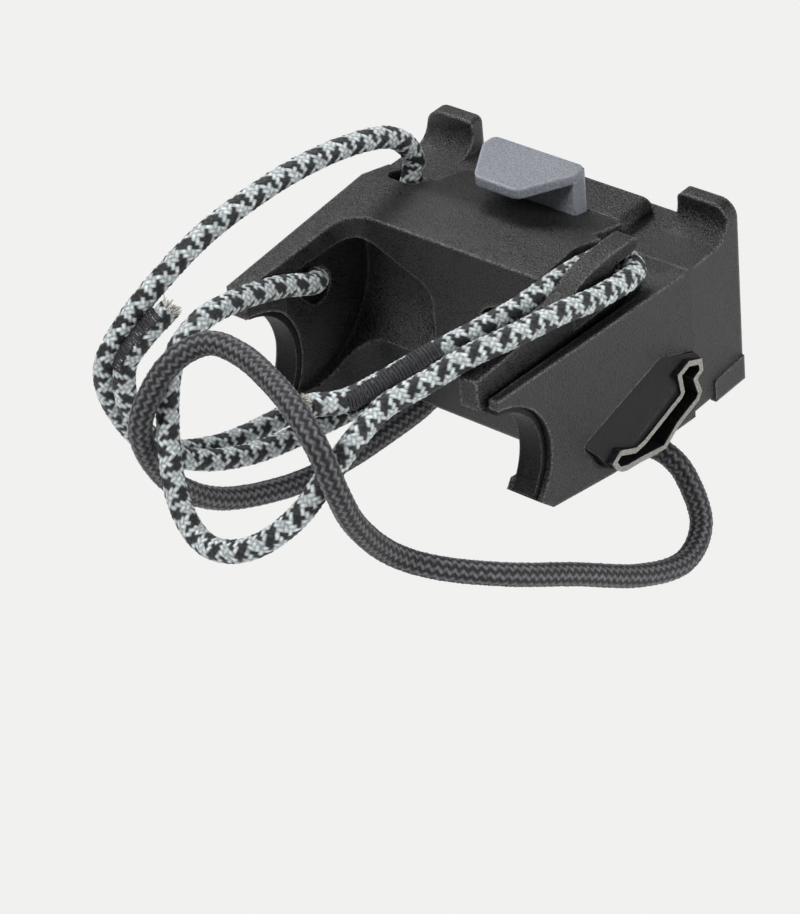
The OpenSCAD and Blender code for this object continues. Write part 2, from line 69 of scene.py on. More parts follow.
# Camera, placed in the frame's metres; its focal length is given in pixels of the photo
CAMERA_PLACE = (0.434237, -0.454456, 0.436265)
CAMERA_RIGHT = (0.76947, 0.63285, -0.08610)
CAMERA_DOWN = (0.31369, -0.49191, -0.81217)
CAMERA_FORWARD = (-0.55634, 0.59793, -0.57703)
SENSOR = 36.0
FOCAL_PX = 3620.0
PHOTO_WIDTH_PX = 800.0
camera_data = bpy.data.cameras.new("camera")
camera_data.sensor_fit = "HORIZONTAL"
camera_data.sensor_width = SENSOR
camera_data.lens = FOCAL_PX / PHOTO_WIDTH_PX * SENSOR
camera_data.clip_start = 0.01
camera_data.clip_end = 20
camera = bpy.data.objects.new("camera", camera_data)
scene.collection.objects.link(camera)
camera.matrix_world = Matrix((
    (CAMERA_RIGHT[0], -CAMERA_DOWN[0], -CAMERA_FORWARD[0], CAMERA_PLACE[0]),
    (CAMERA_RIGHT[1], -CAMERA_DOWN[1], -CAMERA_FORWARD[1], CAMERA_PLACE[1]),
    (CAMERA_RIGHT[2], -CAMERA_DOWN[2], -CAMERA_FORWARD[2], CAMERA_PLACE[2]),
    (0, 0, 0, 1)))
scene.camera = camera


# Material helpers
def new_material(name):
    """A material with a Principled shader: the material, its node tree and the shader."""
    material = bpy.data.materials.new(name)
    material.use_nodes = True
    tree = material.node_tree
    tree.nodes.clear()
    out = tree.nodes.new("ShaderNodeOutputMaterial")
    shader = tree.nodes.new("ShaderNodeBsdfPrincipled")
    tree.links.new(shader.outputs["BSDF"], out.inputs["Surface"])
    return material, tree, shader


def add(tree, kind, **values):
    """A new node with these properties."""
    node = tree.nodes.new(kind)
    for key, value in values.items():
        setattr(node, key, value)
    return node


def noise(tree, coords, scale, detail, rough=0.5):
    """A noise value at each place."""
    node = add(tree, "ShaderNodeTexNoise")
    node.inputs["Scale"].default_value = scale
    node.inputs["Detail"].default_value = detail
    node.inputs["Roughness"].default_value = rough
    tree.links.new(coords, node.inputs["Vector"])
    return node.outputs["Fac"]


def ramp(tree, value, stops):
    """A colour for each value, from (place, colour) stops."""
    node = add(tree, "ShaderNodeValToRGB")
    elements = node.color_ramp.elements
    while len(elements) < len(stops):
        elements.new(0.5)
    for element, (place, colour) in zip(elements, stops):
        element.position = place
        element.color = (*colour, 1)
    tree.links.new(value, node.inputs["Fac"])
    return node.outputs["Color"]


def mapped(tree, value, low, high, to_low, to_high):
    """A value moved from one range to another."""
    node = add(tree, "ShaderNodeMapRange")
    for key, number in (("From Min", low), ("From Max", high), ("To Min", to_low), ("To Max", to_high)):
        node.inputs[key].default_value = number
    tree.links.new(value, node.inputs["Value"])
    return node.outputs["Result"]


def bump(tree, height, strength, distance, normal=None):
    """A normal that a height in metres tilts."""
    node = add(tree, "ShaderNodeBump")
    node.inputs["Strength"].default_value = strength
    node.inputs["Distance"].default_value = distance
    tree.links.new(height, node.inputs["Height"])
    if normal is not None:
        tree.links.new(normal, node.inputs["Normal"])
    return node.outputs["Normal"]


def mix_colour(tree, factor, a, b, blend="MIX"):
    """A blend of two colours, each a socket or a value."""
    node = add(tree, "ShaderNodeMix", data_type="RGBA", blend_type=blend)
    for socket, value in ((node.inputs[0], factor), (node.inputs[6], a), (node.inputs[7], b)):
        if isinstance(value, bpy.types.NodeSocket):
            tree.links.new(value, socket)
        elif isinstance(value, (int, float)):
            socket.default_value = value
        else:
            socket.default_value = (*value, 1)
    return node.outputs[2]


def calculated(tree, operation, a, b=0.0):
    """The result of a Math node on two sockets or numbers."""
    node = add(tree, "ShaderNodeMath", operation=operation)
    for socket, value in ((node.inputs[0], a), (node.inputs[1], b)):
        if isinstance(value, bpy.types.NodeSocket):
            tree.links.new(value, socket)
        else:
            socket.default_value = value
    return node.outputs["Value"]


# The seam of the two shells can't be seen down the sides, where both are flush
SEAM_Y = 63.3 * MM
SEAM_FLUSH_X = 41.2 * MM
SEAM_REACH = 1.3
# Cosines between which an edge turns from its own colour to the full painted highlight
EDGE_START_COSINE = 0.999
FULL_HIGHLIGHT_COSINE = 0.84
# An inner corner is one with solid nearby
CORNER_REACH = 1.6 * MM
INNER_AO = 0.93
CLOUD_SCALE = 70
GRAIN_STRENGTH = 0.8


def off_side_seam(tree, coords, radius):
    """One everywhere but near the seam down the flush sides, where it is zero."""
    place = add(tree, "ShaderNodeSeparateXYZ")
    tree.links.new(coords, place.inputs["Vector"])
    from_seam = calculated(tree, "ABSOLUTE", calculated(tree, "SUBTRACT", place.outputs["Y"], SEAM_Y))
    near_seam = calculated(tree, "LESS_THAN", from_seam, SEAM_REACH * radius)
    from_middle = calculated(tree, "ABSOLUTE", place.outputs["X"])
    on_side = calculated(tree, "GREATER_THAN", from_middle, SEAM_FLUSH_X)
    return calculated(tree, "SUBTRACT", 1.0, calculated(tree, "MULTIPLY", near_seam, on_side))


def moulded(name, low, high, edge, rough, grain, speck, depth, radius, specular):
    """A moulded plastic or rubber: grain, faint cloudiness, patchy sheen, and rounded outer edges with a
    painted highlight.
    low and high are the cloud's two colours and edge the colour of the painted edge highlight. grain is the
    grain's scale, speck its contrast and depth its height. radius is that of the edges."""
    material, tree, shader = new_material(name)
    coords = add(tree, "ShaderNodeTexCoord").outputs["Object"]
    off_seam = off_side_seam(tree, coords, radius)
    cloud = noise(tree, coords, CLOUD_SCALE, detail=4, rough=0.6)
    fine = noise(tree, coords, grain, detail=1)
    rounded = add(tree, "ShaderNodeBevel", samples=6)
    rounded.inputs["Radius"].default_value = radius
    flat = add(tree, "ShaderNodeNewGeometry").outputs["True Normal"]
    turned = add(tree, "ShaderNodeVectorMath", operation="DOT_PRODUCT")
    tree.links.new(rounded.outputs["Normal"], turned.inputs[0])
    tree.links.new(flat, turned.inputs[1])
    # Painted highlight: outer edges, where the rounded normal leans from the flat one and no solid is near,
    # are mixed towards edge; the flush seam is left out
    near_edge = mapped(tree, turned.outputs["Value"], EDGE_START_COSINE, FULL_HIGHLIGHT_COSINE, 0, 1)
    corner = add(tree, "ShaderNodeAmbientOcclusion", samples=8)
    corner.inputs["Distance"].default_value = CORNER_REACH
    outer_only = mapped(tree, corner.outputs["AO"], INNER_AO, 1.0, 0, 1)
    edge_highlight = calculated(tree, "MULTIPLY", calculated(tree, "MULTIPLY", near_edge, outer_only), off_seam)
    colour = ramp(tree, cloud, ((0.3, low), (0.72, high)))
    colour = mix_colour(tree, edge_highlight, colour, edge)
    grains = ramp(tree, fine, ((0.36, (1 - speck,) * 3), (0.66, (1 + speck,) * 3)))
    tree.links.new(mix_colour(tree, 1.0, colour, grains, "MULTIPLY"), shader.inputs["Base Color"])
    sheen = calculated(tree, "ADD", mapped(tree, cloud, 0.3, 0.75, rough - 0.05, rough + 0.06),
                       mapped(tree, fine, 0.35, 0.65, -0.1, 0.1))
    tree.links.new(sheen, shader.inputs["Roughness"])
    shader.inputs["Specular IOR Level"].default_value = specular
    normal = add(tree, "ShaderNodeMix", data_type="VECTOR")
    tree.links.new(off_seam, normal.inputs["Factor"])
    tree.links.new(flat, normal.inputs[4])
    tree.links.new(rounded.outputs["Normal"], normal.inputs[5])
    tree.links.new(bump(tree, fine, GRAIN_STRENGTH, depth, normal.outputs[1]), shader.inputs["Normal"])
    return material


# Each edge colour is a painted highlight on the outer edges
plastic = moulded("housing_plastic", low=(0.011, 0.011, 0.011), high=(0.021, 0.0208, 0.0204),
                  edge=(0.15, 0.147, 0.141), rough=0.36, grain=2800, speck=1.0, depth=0.3 * MM,
                  radius=1.2 * MM, specular=0.4)
button_grey = moulded("button_plastic", low=(0.185, 0.199, 0.226), high=(0.215, 0.23, 0.26),
                      edge=(0.4, 0.415, 0.45), rough=0.42, grain=2300, speck=0.25, depth=0.1 * MM,
                      radius=1.2 * MM, specular=0.4)
rubber = moulded("guide_rubber", low=(0.009, 0.0087, 0.0103), high=(0.015, 0.0145, 0.0165),
                 edge=(0.1, 0.096, 0.094), rough=0.5, grain=2300, speck=0.6, depth=0.15 * MM,
                 radius=0.6 * MM, specular=0.15)
# Painted highlight: the pale rubber that the cable guides' outward lip faces get
lip_highlight_rubber = moulded("guide_rubber_lip_highlight", low=(0.23, 0.22, 0.2), high=(0.3, 0.288, 0.262),
                      edge=(0.36, 0.35, 0.32), rough=0.45, grain=2300, speck=0.3, depth=0.1 * MM,
                      radius=0.4 * MM, specular=0.3)


HAZE_SCALE = 900


def steel_material():
    """Turned steel with a faint haze."""
    material, tree, shader = new_material("screw_steel")
    coords = add(tree, "ShaderNodeTexCoord").outputs["Object"]
    haze = noise(tree, coords, HAZE_SCALE, detail=3, rough=0.6)
    tones = ramp(tree, haze, ((0.3, (0.42, 0.42, 0.43)), (0.7, (0.58, 0.58, 0.59))))
    tree.links.new(tones, shader.inputs["Base Color"])
    tree.links.new(mapped(tree, haze, 0.3, 0.7, 0.25, 0.4), shader.inputs["Roughness"])
    shader.inputs["Metallic"].default_value = 1.0
    return material


steel = steel_material()
FIBRE_SCALE = 6500
STREAK_SCALE = 3800
FIBRE_DEPTH = 0.05 * MM
FIBRE_STRENGTH = 0.5


def braid_material(name, rough):
    """Reads the colour that the braid's maker gives each yarn, with painted shade in the grooves between
    yarns, and adds fibres.
    """
    material, tree, shader = new_material(name)
    colour = add(tree, "ShaderNodeAttribute", attribute_name="yarn").outputs["Color"]
    coords = add(tree, "ShaderNodeTexCoord").outputs["Object"]
    fibre = noise(tree, coords, FIBRE_SCALE, detail=2, rough=0.7)
    shade = ramp(tree, fibre, ((0.3, (0.7, 0.7, 0.7)), (0.7, (1.2, 1.2, 1.2))))
    tree.links.new(mix_colour(tree, 1.0, colour, shade, "MULTIPLY"), shader.inputs["Base Color"])
    shader.inputs["Roughness"].default_value = rough
    shader.inputs["Specular IOR Level"].default_value = 0.35
    shader.inputs["Sheen Weight"].default_value = 0.15
    shader.inputs["Sheen Roughness"].default_value = 0.5
    tree.links.new(bump(tree, fibre, FIBRE_STRENGTH, FIBRE_DEPTH), shader.inputs["Normal"])
    return material


reflective_braid = braid_material("reflective_braid", rough=0.55)
black_braid = braid_material("black_braid", rough=0.6)


def fibre_material(name, low, high, rough):
    """Sewing thread or loose fibre: fine streaks between two tones."""
    material, tree, shader = new_material(name)
    coords = add(tree, "ShaderNodeTexCoord").outputs["Object"]
    streak = noise(tree, coords, STREAK_SCALE, detail=3, rough=0.7)
    tree.links.new(ramp(tree, streak, ((0.3, low), (0.7, high))), shader.inputs["Base Color"])
    tree.links.new(mapped(tree, streak, 0.3, 0.7, rough - 0.1, rough + 0.1), shader.inputs["Roughness"])
    shader.inputs["Specular IOR Level"].default_value = 0.4
    tree.links.new(bump(tree, streak, FIBRE_STRENGTH, FIBRE_DEPTH), shader.inputs["Normal"])
    return material


thread = fibre_material("black_thread", low=(0.006, 0.006, 0.007), high=(0.05, 0.05, 0.055), rough=0.5)
frayed = fibre_material("pale_fibre", low=(0.62, 0.61, 0.55), high=(0.86, 0.85, 0.78), rough=0.7)

# Cords: the routes of their middles, in mm, as in the part's source
REFLECTIVE_UPPER = [
    (-27, 52, 13), (-27, 53, 22), (-27.2, 56, 30), (-28, 51, 37.3), (-29.5, 40, 41), (-31.5, 26, 42.3),
    (-33.5, 12, 41.4), (-37, -1, 37.5), (-41.5, -11, 30.2), (-46, -18, 22), (-49.5, -23.5, 12),
    (-49.5, -22, 0), (-47, -14.5, -13.5), (-43, 1, -20.5), (-38.5, 22, -21.5), (-36, 41, -21.5),
    (-35.8, 45.2, -21.5), (-34.4, 48.6, -21.5), (-31, 50, -21.5), (-27.6, 48.6, -21.5),
    (-26.2, 45.2, -21.5), (-26, 41, -21.5), (-29.5, 22, -21.5), (-35.5, 1, -20.5), (-41, -14.5, -13.5),
    (-44.5, -22, 0), (-44.6, -22.3, 12.5), (-41.5, -18.7, 19.5), (-38, -13, 25)]
REFLECTIVE_LOWER = [
    (11.5, -25.4, 25.8), (15.5, -17, 24.2), (20.8, 0, 25.9), (24, 13, 26.3), (26, 25.5, 26.1),
    (26.6, 38, 26.2), (26.6, 47.6, 25), (28, 52.3, 24.3), (31.8, 54.4, 24.1), (35.6, 52.3, 23.8),
    (37.2, 47, 24.6), (37.3, 36, 26.2), (36.4, 26, 28.1), (33.7, 13.5, 28.5), (29.8, 3.5, 27.7),
    (25.3, -5.5, 24.7), (21.2, -14, 22.2), (20.6, -23.5, 19), (19.8, -31.5, 14.5), (17, -38, 8),
    (11.5, -43.5, 2.5), (4, -46, -1), (-5, -45, -2), (-14, -41, 2.5), (-22, -33.5, 11.5),
    (-25.6, -26.5, 22.5), (-25.3, -18, 28.3), (-26, -6, 27), (-26.3, 8, 22.8), (-26, 18.2, 18.2),
    (-30, 24.5, 15)]
SAFETY = [
    (24, 56, -14), (24.2, 56.2, -20), (28, 57.5, -25), (36, 59.6, -28.2), (41, 60, -33.5),
    (46, 57.5, -42), (48.8, 47, -44.5), (48, 32, -39), (44.5, 14, -28.5), (39.5, -1, -21),
    (31, -12.5, -15.5), (24.7, -20, -9.5), (24.4, -29, 3), (25, -34, 14.5), (22, -34.8, 24.6),
    (14, -31.8, 29.3), (4, -27.6, 30.4), (-7, -24.3, 31), (-16, -25.2, 31), (-22, -32, 26),
    (-25.4, -38, 13.5), (-26.5, -31.5, -3.5), (-25.5, -19, -16), (-22.5, -2, -22.5), (-19.5, 13, -24),
    (-18, 29, -24), (-17.6, 42, -23.5), (-17.6, 48.3, -19.8), (-17.6, 49.2, -14)]
CORD_D = 5.0
CORD_R = CORD_D / 2
SAFETY_D = 5.2
# Size of the braids' mesh: mm from ring to ring, and corners in a ring
STEP = 0.27
AROUND = 64


PARTS_PER_SPAN = 24
SMOOTHING_REACH = 1.2
# A direction that no line starts along, from which the rings' first corner is taken
RING_START = (0.31, 0.2, 0.93)


def distances(line):
    """How far along the line each of its points is."""
    return np.r_[0, np.cumsum(np.linalg.norm(np.diff(line, axis=0), axis=1))]


def smooth_path(points, step):
    """An even, gently smoothed line through the points, in mm."""
    p = np.array(points, float)
    p = np.vstack([2 * p[0] - p[1], p, 2 * p[-1] - p[-2]])
    t = (np.arange(PARTS_PER_SPAN) / PARTS_PER_SPAN)[:, None]
    line = []
    for i in range(1, len(p) - 2):
        line.append(0.5 * (2 * p[i] + (p[i + 1] - p[i - 1]) * t
                           + (2 * p[i - 1] - 5 * p[i] + 4 * p[i + 1] - p[i + 2]) * t ** 2
                           + (3 * p[i] - p[i - 1] - 3 * p[i + 1] + p[i + 2]) * t ** 3))
    line.append(p[-2][None])
    line = np.vstack(line)
    reach = max(1, int(SMOOTHING_REACH / step))
    kernel = np.hanning(2 * reach + 3)
    kernel /= kernel.sum()
    for _ in range(2):
        along = distances(line)
        places = np.linspace(0, along[-1], int(along[-1] / step) + 1)
        line = np.column_stack([np.interp(places, along, line[:, k]) for k in range(3)])
        padded = np.vstack([line[:1].repeat(reach + 1, 0), line, line[-1:].repeat(reach + 1, 0)])
        ends = line[0].copy(), line[-1].copy()
        line = np.column_stack([np.convolve(padded[:, k], kernel, "valid") for k in range(3)])
        line[0], line[-1] = ends
    return line


def side_vectors(line):
    """Two vectors across the line at each point, with no twist along it."""
    tangents = np.gradient(line, axis=0)
    tangents /= np.linalg.norm(tangents, axis=1)[:, None]
    side = np.cross(tangents[0], RING_START)
    side /= np.linalg.norm(side)
    sides = [side]
    for t in tangents[1:]:
        side = side - t * (side @ t)
        side /= np.linalg.norm(side)
        sides.append(side)
    sides = np.array(sides)
    return sides, np.cross(tangents, sides)


def ring_corners(line, radius, count):
    """Corners of a ring round each point of the line; radius has a row for each ring."""
    side, up = side_vectors(line)
    theta = 2 * math.pi * (np.arange(count) / count)
    ring = side[:, None] * np.cos(theta)[None, :, None] + up[:, None] * np.sin(theta)[None, :, None]
    return (line[:, None] + ring * radius[..., None]).reshape(-1, 3)


def ring_faces(rings, count):
    """Faces between the rings, and one that closes each end."""
    k = np.arange(count)
    base = (np.arange(rings - 1) * count)[:, None]
    after = (k + 1) % count
    quads = np.stack([base + k, base + after, base + count + after, base + count + k], -1)
    faces = [tuple(q) for q in quads.reshape(-1, 4).tolist()]
    faces.append(tuple(range(count))[::-1])
    faces.append(tuple(range((rings - 1) * count, rings * count)))
    return faces


def mesh_object(name, verts, faces, materials):
    """A smooth-shaded mesh object."""
    mesh = bpy.data.meshes.new(name)
    mesh.from_pydata(np.asarray(verts).tolist(), [], faces)
    mesh.update()
    mesh.polygons.foreach_set("use_smooth", [True] * len(mesh.polygons))
    for material in materials:
        mesh.materials.append(material)
    obj = bpy.data.objects.new(name, mesh)
    scene.collection.objects.link(obj)
    return obj


# Braid: a yarn's width and dome, how sunk the weave is, how much one stitch differs from the next, and the
# painted shade in the grooves
YARN_NARROWING = 1.9
ENDS_POWER = 0.55
UNDER_HEIGHT = 0.3
WEAVE_MIDDLE = 0.55
WEAVE_INSET = 0.12
STITCH_KINDS = 997
BULGE = 0.03
TONE_SPREAD = 0.16
TONE_RANGE = (0.6, 1.4)
GROOVE_SHADE = 0.08
SHADE_POWER = 1.1


def woven(along, around, yarns, pitch):
    """A braid of yarns of both hands, each over two and under two, at every place along and around the cord.
    Gives the yarn that shows, a number for its stitch, the yarn's dome and how high it rides."""
    angle = np.arange(around) / around
    turns = along[:, None] / pitch
    a = yarns * (angle[None] + turns)
    b = yarns * (angle[None] - turns)
    i, j = np.floor(a), np.floor(b)
    a_on_top = ((i - j) % 4) < 2
    across = np.where(a_on_top, a - i - 0.5, b - j - 0.5)
    float_a = ((b - (i - 1)) % 4) / 2
    float_b = ((a - (j + 2)) % 4) / 2
    phase = np.clip(np.where(a_on_top, float_a, float_b), 0, 1)
    crown = np.sqrt(np.clip(1 - (YARN_NARROWING * across) ** 2, 0, 1))
    lift = np.clip(np.sin(np.pi * phase), 0, 1) ** ENDS_POWER
    yarn = np.where(a_on_top, i % yarns, (j % yarns) + yarns).astype(int)
    stitch = (i * 7 + j * 13 + a_on_top * 5).astype(int)
    return yarn, stitch, crown, crown * (UNDER_HEIGHT + (1 - UNDER_HEIGHT) * lift)


def braid(name, points, diameter, yarns, pitch, pale, colours, material, relief):
    """A braided cord with its yarns as real relief and painted shade where a yarn rides low. pale tells which
    yarns have the second of the colours.
    """
    line = smooth_path(points, STEP)
    yarn, stitch, crown, raised = woven(distances(line), AROUND, yarns, pitch)
    wobble = rng.normal(0, 1, STITCH_KINDS)[stitch % STITCH_KINDS]
    height = relief * (raised - WEAVE_MIDDLE) + BULGE * wobble * crown
    verts = ring_corners(line, diameter / 2 - WEAVE_INSET + height, AROUND) * MM
    obj = mesh_object(name, verts, ring_faces(len(line), AROUND), [material])
    is_pale = np.array([pale(y) for y in range(2 * yarns)])[yarn]
    tone = 1 + TONE_SPREAD * rng.normal(0, 1, STITCH_KINDS)[(stitch * 3) % STITCH_KINDS]
    # Painted shade: each yarn's colour darkens towards the grooves, where it rides low
    shade = GROOVE_SHADE + (1 - GROOVE_SHADE) * np.clip(raised, 0, 1) ** SHADE_POWER
    colour = np.where(is_pale[..., None], np.array(colours[1]), np.array(colours[0]))
    colour = colour * np.clip(tone, *TONE_RANGE)[..., None] * shade[..., None]
    layer = obj.data.color_attributes.new("yarn", "FLOAT_COLOR", "POINT")
    data = np.ones((len(verts), 4), np.float32)
    data[:, :3] = colour.reshape(-1, 3)
    layer.data.foreach_set("color", data.ravel())
    return obj, line


def tube(path, radius, count):
    """Corners and faces of a thin tube along a path, in mm."""
    radius = np.broadcast_to(radius, len(path))
    return ring_corners(path, radius[:, None], count), ring_faces(len(path), count)


def joined(name, parts, material):
    """One object of many small closed pieces."""
    verts, faces, first = [], [], 0
    for part_verts, part_faces in parts:
        verts.append(part_verts)
        faces += [tuple(first + v for v in face) for face in part_faces]
        first += len(part_verts)
    return mesh_object(name, np.vstack(verts) * MM, faces, [material])


STITCH_STEP = 0.42
STITCH_SPREAD = 0.05
THREAD_R = 0.24
THREAD_SIDES = 6
THREAD_LIFT = 0.16
# Stretch of the cord's own run that can't be the other strand of its loop
OWN_STRAND = 40
# Angles from the crown of the cord towards the other strand
CROWN_ANGLE = 0.25
SHOULDER_ANGLE = 0.5
FLANK_ANGLE = 1.15
GROOVE_REACH = 0.5
GROOVE_LIFT = 0.35
# How much further the stitches reach round the crown than the angle says, at least and at most
SWAY = (0.4, 1.3)


def sewing(name, line, start, stop, outward):
    """Dense zigzag stitches that close a cord's loop, from the crown of one strand down into the groove.
    start and stop are distances along the cord, in mm. outward is 1 or -1, the side that is sewn."""
    along = distances(line)
    reach = CORD_R + THREAD_LIFT
    points = []
    for k in range(int((stop - start) / STITCH_STEP)):
        place = start + k * STITCH_STEP + rng.normal(0, STITCH_SPREAD)
        i = int(np.searchsorted(along, place))
        here = line[i]
        tangent = line[i + 1] - line[i - 1]
        tangent /= np.linalg.norm(tangent)
        apart = np.linalg.norm(line - here, axis=1)
        apart[np.abs(along - place) < OWN_STRAND] = np.inf
        across = line[int(apart.argmin())] - here
        across -= tangent * (across @ tangent)
        gap = np.linalg.norm(across)
        across /= gap
        up = np.cross(tangent, across) * outward
        sway = rng.uniform(*SWAY)
        crown = here + reach * (up * math.cos(CROWN_ANGLE) - across * math.sin(CROWN_ANGLE) * sway)
        shoulder = here + reach * (up * math.cos(SHOULDER_ANGLE) + across * math.sin(SHOULDER_ANGLE))
        flank = here + reach * (up * math.cos(FLANK_ANGLE) + across * math.sin(FLANK_ANGLE))
        groove = here + across * min(gap / 2, CORD_R + GROOVE_REACH) + up * (GROOVE_LIFT * CORD_R)
        stitch = [crown, shoulder, flank, groove]
        points += stitch if k % 2 == 0 else stitch[::-1]
    path = np.array(points)
    fine = np.arange(0, len(path) - 1, 0.5)
    path = np.column_stack([np.interp(fine, np.arange(len(path)), path[:, k]) for k in range(3)])
    return joined(name, [tube(path, THREAD_R, THREAD_SIDES)], thread)


FIBRES = 110
FIBRE_POINTS = 5
FIBRE_SIDES = 5
FIBRE_ROOT_R = 0.2
FIBRE_TIP_R = 0.07
# How far the fibres' roots are inside the cord's side and behind its cut
ROOT_INSET = 0.45
ROOT_DEPTH = 0.4
BEND_SPREAD = 0.16
LEAN = (0.1, 0.7)
FIBRE_LENGTH = (0.9, 1.9)
FRAY_START = (0.3, 0.5, 0.81)


def frayed_end(name, tip, direction):
    """The pale cut end of a cord: a tuft of short bent fibres."""
    direction = direction / np.linalg.norm(direction)
    side = np.cross(direction, FRAY_START)
    side /= np.linalg.norm(side)
    up = np.cross(direction, side)
    radii = np.linspace(FIBRE_ROOT_R, FIBRE_TIP_R, FIBRE_POINTS)
    t = np.linspace(0, 1, FIBRE_POINTS)[:, None]
    fibres = []
    for _ in range(FIBRES):
        turn = rng.uniform(0, 2 * math.pi)
        out = math.sqrt(rng.uniform(0, 1))
        radial = side * math.cos(turn) + up * math.sin(turn)
        root = tip + radial * out * (CORD_R - ROOT_INSET) - direction * ROOT_DEPTH
        lean = radial * out * rng.uniform(*LEAN) + (side * rng.normal() + up * rng.normal()) * BEND_SPREAD
        length = rng.uniform(*FIBRE_LENGTH)
        path = root + direction * length * t + lean * length * t ** 2
        fibres.append(tube(path, radii, FIBRE_SIDES))
    return joined(name, fibres, frayed)


BLACK_YARN = (0.022, 0.023, 0.025)
PALE_YARN = (0.72, 0.78, 0.79)
JET_YARN = (0.014, 0.014, 0.016)
# Painted highlight: the paler grey that every other yarn of the black safety cord gets
PAINTED_HIGHLIGHT_YARN = (0.16, 0.16, 0.172)
# Yarns of each hand, the length of cord in which a yarn goes once round, and the height of the relief
REFLECTIVE_YARNS = 12
REFLECTIVE_PITCH = 14.2
REFLECTIVE_RELIEF = 0.34
SAFETY_YARNS = 16
SAFETY_PITCH = 15.5
SAFETY_RELIEF = 0.3
# Distances along the cord between which its loop is sewn
UPPER_SEAM = (316, 331)
LOWER_SEAM = (8, 31)
# Steps of the line over which the direction of a cut end is taken
END_STEPS = 5


def pale_yarn(y):
    """Four of six yarns are pale in one hand of the braid, three of six in the other."""
    return y % 6 < 4 if y < REFLECTIVE_YARNS else y % 6 < 3


def painted_highlight_yarn(y):
    """Every other yarn of the safety cord is a paler grey, a painted highlight on the black braid."""
    return y % 2 == 0


def reflective_cord(run, points):
    """The braid of one run of the reflective cord, and its line."""
    return braid(f"reflective_cord_{run}_braid", points, CORD_D, REFLECTIVE_YARNS, REFLECTIVE_PITCH,
                 pale_yarn, (BLACK_YARN, PALE_YARN), reflective_braid, REFLECTIVE_RELIEF)


def seams(run, line, stretch):
    """The stitches on both sides of a loop."""
    return [sewing(f"{run}_seam_{outward + 1}", line, *stretch, outward) for outward in (1, -1)]


cord_upper, line_upper = reflective_cord("upper", REFLECTIVE_UPPER)
cord_lower, line_lower = reflective_cord("lower", REFLECTIVE_LOWER)
cord_safety, line_safety = braid("safety_cord_braid", SAFETY, SAFETY_D, SAFETY_YARNS, SAFETY_PITCH, painted_highlight_yarn,
                                 (JET_YARN, PAINTED_HIGHLIGHT_YARN), black_braid, SAFETY_RELIEF)
seams_upper = seams("upper", line_upper, UPPER_SEAM)
seams_lower = seams("lower", line_lower, LOWER_SEAM)
fray_upper = frayed_end("upper_cut_end", line_upper[-1], line_upper[-1] - line_upper[-1 - END_STEPS])
fray_lower = frayed_end("lower_cut_end", line_lower[0], line_lower[0] - line_lower[END_STEPS])
for obj in seams_upper + seams_lower + [fray_upper, fray_lower]:
    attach(obj, "housing")
for obj, node, slot in ((cord_upper, "reflective_cord_upper", "reflective_braid"),
                        (cord_lower, "reflective_cord_lower", "reflective_braid"),
                        (cord_safety, "safety_cord", "black_braid")):
    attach(obj, "housing")
    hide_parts(node)

# Housing, button and guides: smooth-shaded copies of the CAD nodes
MERGE_DISTANCE = 0.004 * MM
FLAT_ANGLE = math.radians(0.4)
CREASE_ANGLE = math.radians(28)
LIP_DEPTH = 0.1 * MM
LIP_COSINE = 0.9


def mark_lip(faces, outermost):
    """Gives the second material, a pale painted highlight, to the outward faces at the outer end of a cable
    guide.
    """
    for face in faces:
        faces_out = abs(face.normal.x) > LIP_COSINE
        if faces_out and abs(face.calc_center_median().x) > outermost - LIP_DEPTH:
            face.material_index = 1


def dressed(node, body, materials):
    """A copy of a CAD node with merged corners and clean shading, which stands for it."""
    mesh = bpy.data.meshes.new(node + "_dressed")
    work = bmesh.new()
    work.from_mesh(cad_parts[node].data)
    bmesh.ops.remove_doubles(work, verts=work.verts, dist=MERGE_DISTANCE)
    bmesh.ops.dissolve_limit(work, angle_limit=FLAT_ANGLE, verts=work.verts, edges=work.edges)
    for edge in work.edges:
        edge.smooth = not (len(edge.link_faces) == 2 and edge.calc_face_angle(0) > CREASE_ANGLE)
    for face in work.faces:
        face.smooth = True
        face.material_index = 0
    if len(materials) > 1:
        mark_lip(work.faces, max(abs(v.co.x) for v in work.verts))
    work.to_mesh(mesh)
    work.free()
    for material in materials:
        mesh.materials.append(material)
    obj = bpy.data.objects.new(node + "_dressed", mesh)
    scene.collection.objects.link(obj)
    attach(obj, body)
    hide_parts(node)


dressed("rear_shell", "housing", [plastic])
dressed("front_shell", "housing", [plastic])
dressed("release_button", "button", [button_grey])
for side in ("left", "right"):
    dressed(f"cable_guide_{side}", "housing", [rubber, lip_highlight_rubber])

# Button spring: a round-wire coil at the CAD spring's place and length
WIRE_D = 0.7
SPRING_TURNS = 7
POINTS_PER_TURN = 24
WIRE_SIDES = 10
# The end turns lie almost flat: their share of the wire and of the climb
END_SHARE = 0.12
END_CLIMB = 0.05
spring_low, spring_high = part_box("button_spring")
spring_axis = [(a + b) / 2 / MM for a, b in zip(spring_low, spring_high)]
coil_r = (spring_high[0] - spring_low[0]) / 2 / MM - WIRE_D / 2
spring_length = (spring_high[2] - spring_low[2]) / MM
share = np.linspace(0, 1, SPRING_TURNS * POINTS_PER_TURN + 1)
climb = np.interp(share, (0, END_SHARE, 1 - END_SHARE, 1), (0, END_CLIMB, 1 - END_CLIMB, 1))
coil = np.column_stack([spring_axis[0] + coil_r * np.cos(2 * math.pi * SPRING_TURNS * share),
                        spring_axis[1] + coil_r * np.sin(2 * math.pi * SPRING_TURNS * share),
                        spring_low[2] / MM + WIRE_D / 2 + climb * (spring_length - WIRE_D)])
spring = joined("button_spring_coil", [tube(coil, WIRE_D / 2, WIRE_SIDES)], steel)
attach(spring, "housing")
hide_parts("button_spring")
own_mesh(spring)

# CAD nodes: all are steel but these
finish_of = {"cord_carriage_left": plastic, "cord_carriage_right": plastic,
             "bar_pad_left": rubber, "bar_pad_right": rubber}
for name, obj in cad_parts.items():
    obj.data.materials.clear()
    obj.data.materials.append(finish_of.get(name, steel))

